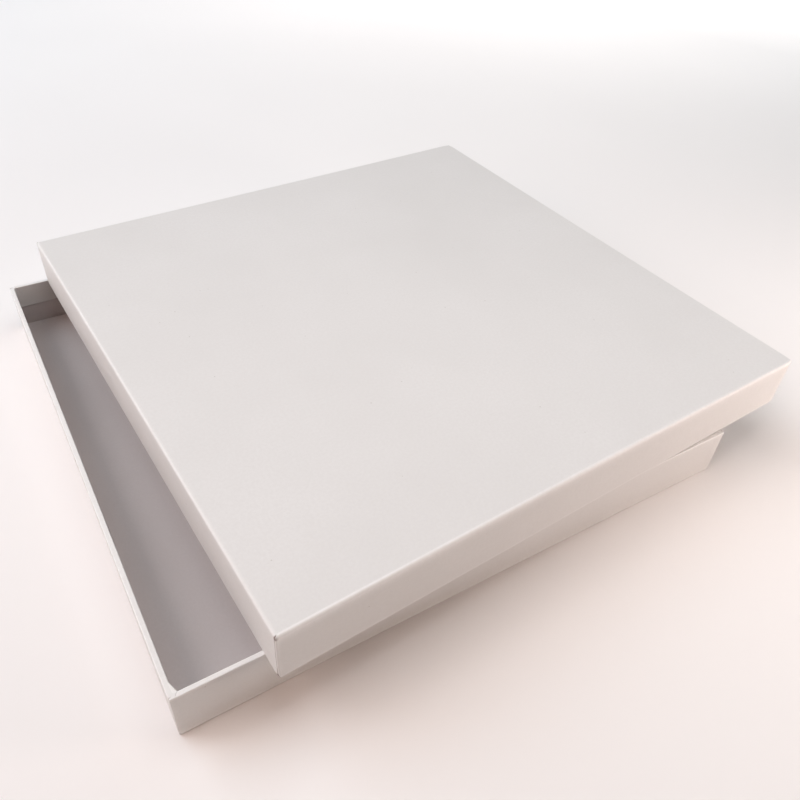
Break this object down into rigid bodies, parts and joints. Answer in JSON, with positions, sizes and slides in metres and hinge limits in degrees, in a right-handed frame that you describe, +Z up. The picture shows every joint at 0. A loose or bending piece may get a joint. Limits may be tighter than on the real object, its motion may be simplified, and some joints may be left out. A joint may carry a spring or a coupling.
{
  "type": "gift box",
  "caption": "Flat square rigid gift box of paper-wrapped board: a shallow tray and a lift-off lid with a deep skirt, lying askew on the tray's rims.",
  "frame": {"origin": "centre of the tray's underside, on the surface that the box stands on", "axes": "+Z up, out of the open tray; +X to the right along the tray's front wall; +Y to the back"},
  "size_m": [0.3458, 0.324, 0.0574],
  "materials": {
    "wrap_paper": "matte",
    "liner_paper": "matte",
    "grey_board": "matte",
    "stay_paper": "matte"
  },
  "bodies": {
    "tray": {"tray_base_board": "grey_board", "tray_front_board": "grey_board", "tray_back_board": "grey_board", "tray_left_board": "grey_board", "tray_right_board": "grey_board", "tray_stay_front_left": "stay_paper", "tray_stay_front_right": "stay_paper", "tray_stay_back_left": "stay_paper", "tray_stay_back_right": "stay_paper", "tray_wrap": "wrap_paper", "tray_liner": "liner_paper"},
    "lid": {"lid_top_board": "grey_board", "lid_front_board": "grey_board", "lid_back_board": "grey_board", "lid_left_board": "grey_board", "lid_right_board": "grey_board", "lid_stay_front_left": "stay_paper", "lid_stay_front_right": "stay_paper", "lid_stay_back_left": "stay_paper", "lid_stay_back_right": "stay_paper", "lid_wrap": "wrap_paper", "lid_liner": "liner_paper"}
  },
  "joints": [
    {"name": "lid_lift", "type": "slide", "parent": "tray", "child": "lid", "axis": [0, 0, 1], "range_m": [0, 0.12]}
  ]
}
